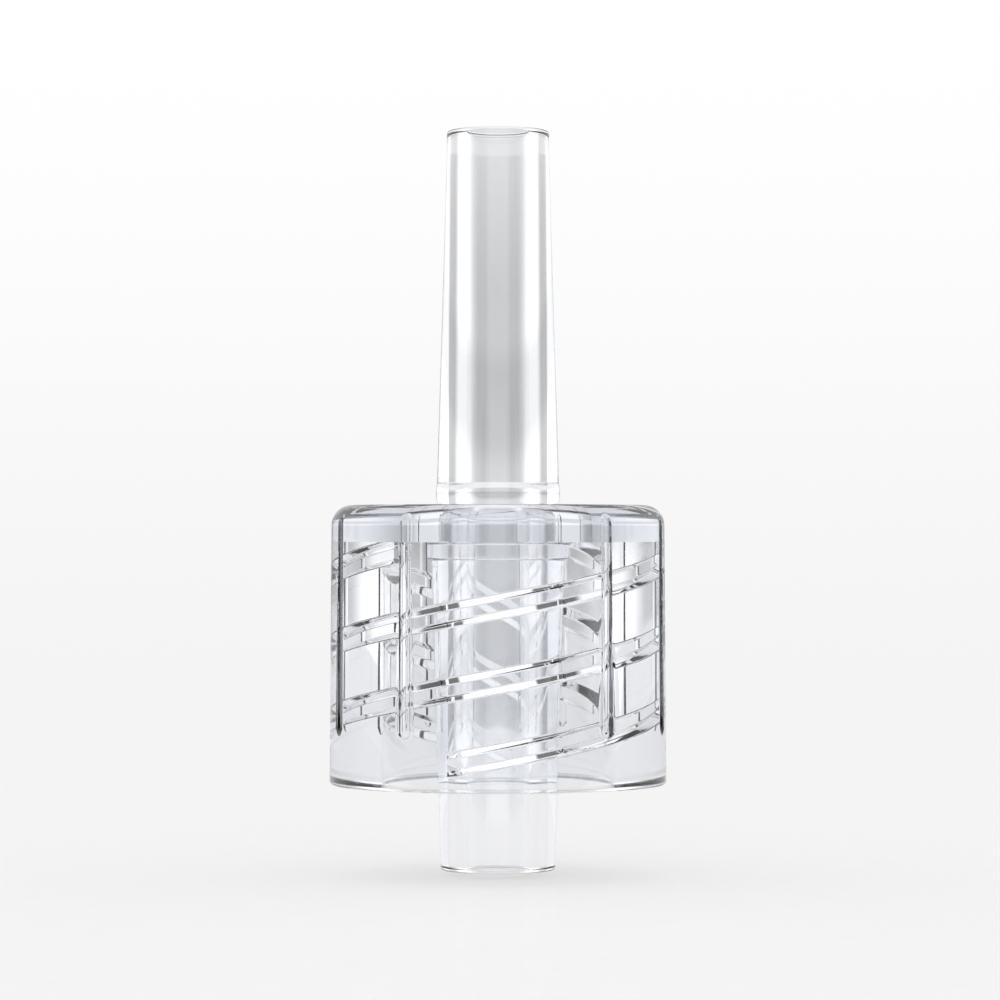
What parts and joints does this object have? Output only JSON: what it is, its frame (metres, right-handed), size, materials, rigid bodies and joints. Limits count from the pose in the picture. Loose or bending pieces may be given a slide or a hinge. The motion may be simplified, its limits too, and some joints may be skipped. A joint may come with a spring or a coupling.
{
  "type": "male luer lock connector with tubing stem",
  "caption": "Clear male luer-lock connector: tapered tip and tubing stem on one bore, with a fluted lock collar that spins freely.",
  "frame": {"origin": "centre of the male tip's end face, on the bore's axis", "axes": "+Z along the bore from the tip towards the stem's mouth; -Y is the side that faces the viewer in the picture"},
  "size_m": [0.0116, 0.0116, 0.0255],
  "materials": {
    "clear_body": "water-clear moulded plastic, polished",
    "clear_collar": "water-clear moulded plastic, polished"
  },
  "bodies": {
    "body": {"luer_body": "clear_body"},
    "collar": {"lock_collar": "clear_collar"}
  },
  "joints": [
    {"name": "collar_spin", "type": "hinge", "parent": "body", "child": "collar", "pos_m": [0, 0, 0.0119], "axis": [0, 0, 1], "continuous": true}
  ]
}
